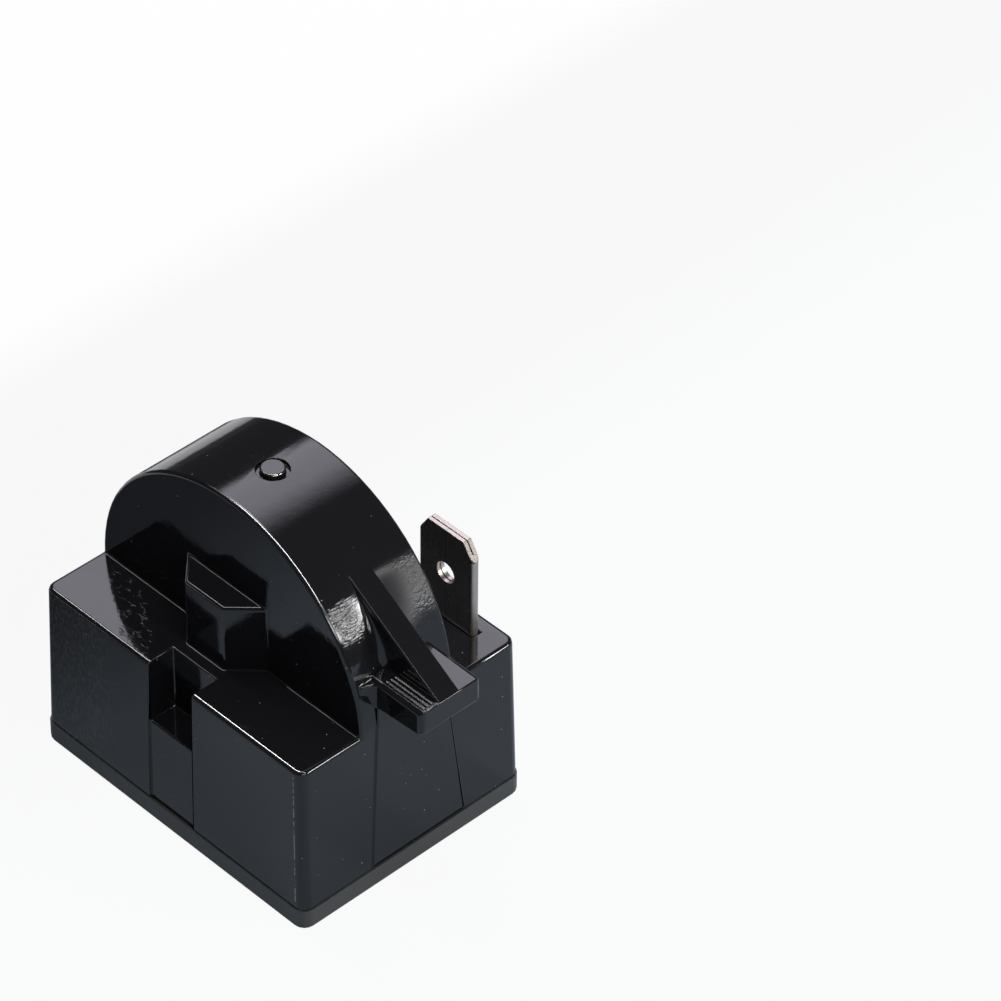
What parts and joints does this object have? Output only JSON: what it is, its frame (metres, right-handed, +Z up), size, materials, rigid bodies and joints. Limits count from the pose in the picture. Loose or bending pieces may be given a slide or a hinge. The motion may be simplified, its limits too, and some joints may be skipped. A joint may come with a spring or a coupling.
{
  "type": "compressor start relay",
  "caption": "Black moulded start relay: a round drum with a thermistor disc inside stands on a box, with pin sockets below and a folded spade tab on top.",
  "frame": {"origin": "centre of the base cover's footprint on the resting face", "axes": "+X along the box towards the ledge, +Y towards the side with the spade tab, +Z up towards the drum's crown"},
  "size_m": [0.0362, 0.0242, 0.032],
  "materials": {
    "black_plastic": "glossy moulded, a little dusty",
    "silvered_ceramic": "ceramic disc with sprayed metal faces",
    "plated_steel": "tin-plated sheet with sheared edges",
    "spring_steel": "rolled spring strip",
    "brass": "pressed sheet"
  },
  "bodies": {
    "root": {"housing_shell": "black_plastic", "base_cover": "black_plastic", "ptc_disc": "silvered_ceramic", "start_contact_spring": "spring_steel", "run_contact_spring": "spring_steel", "run_terminal": "plated_steel", "start_terminal": "plated_steel", "run_pin_socket": "brass", "start_pin_socket": "brass", "run_socket_clip": "spring_steel", "start_socket_clip": "spring_steel", "run_socket_rivet": "brass", "start_socket_rivet": "brass"}
  },
  "joints": []
}
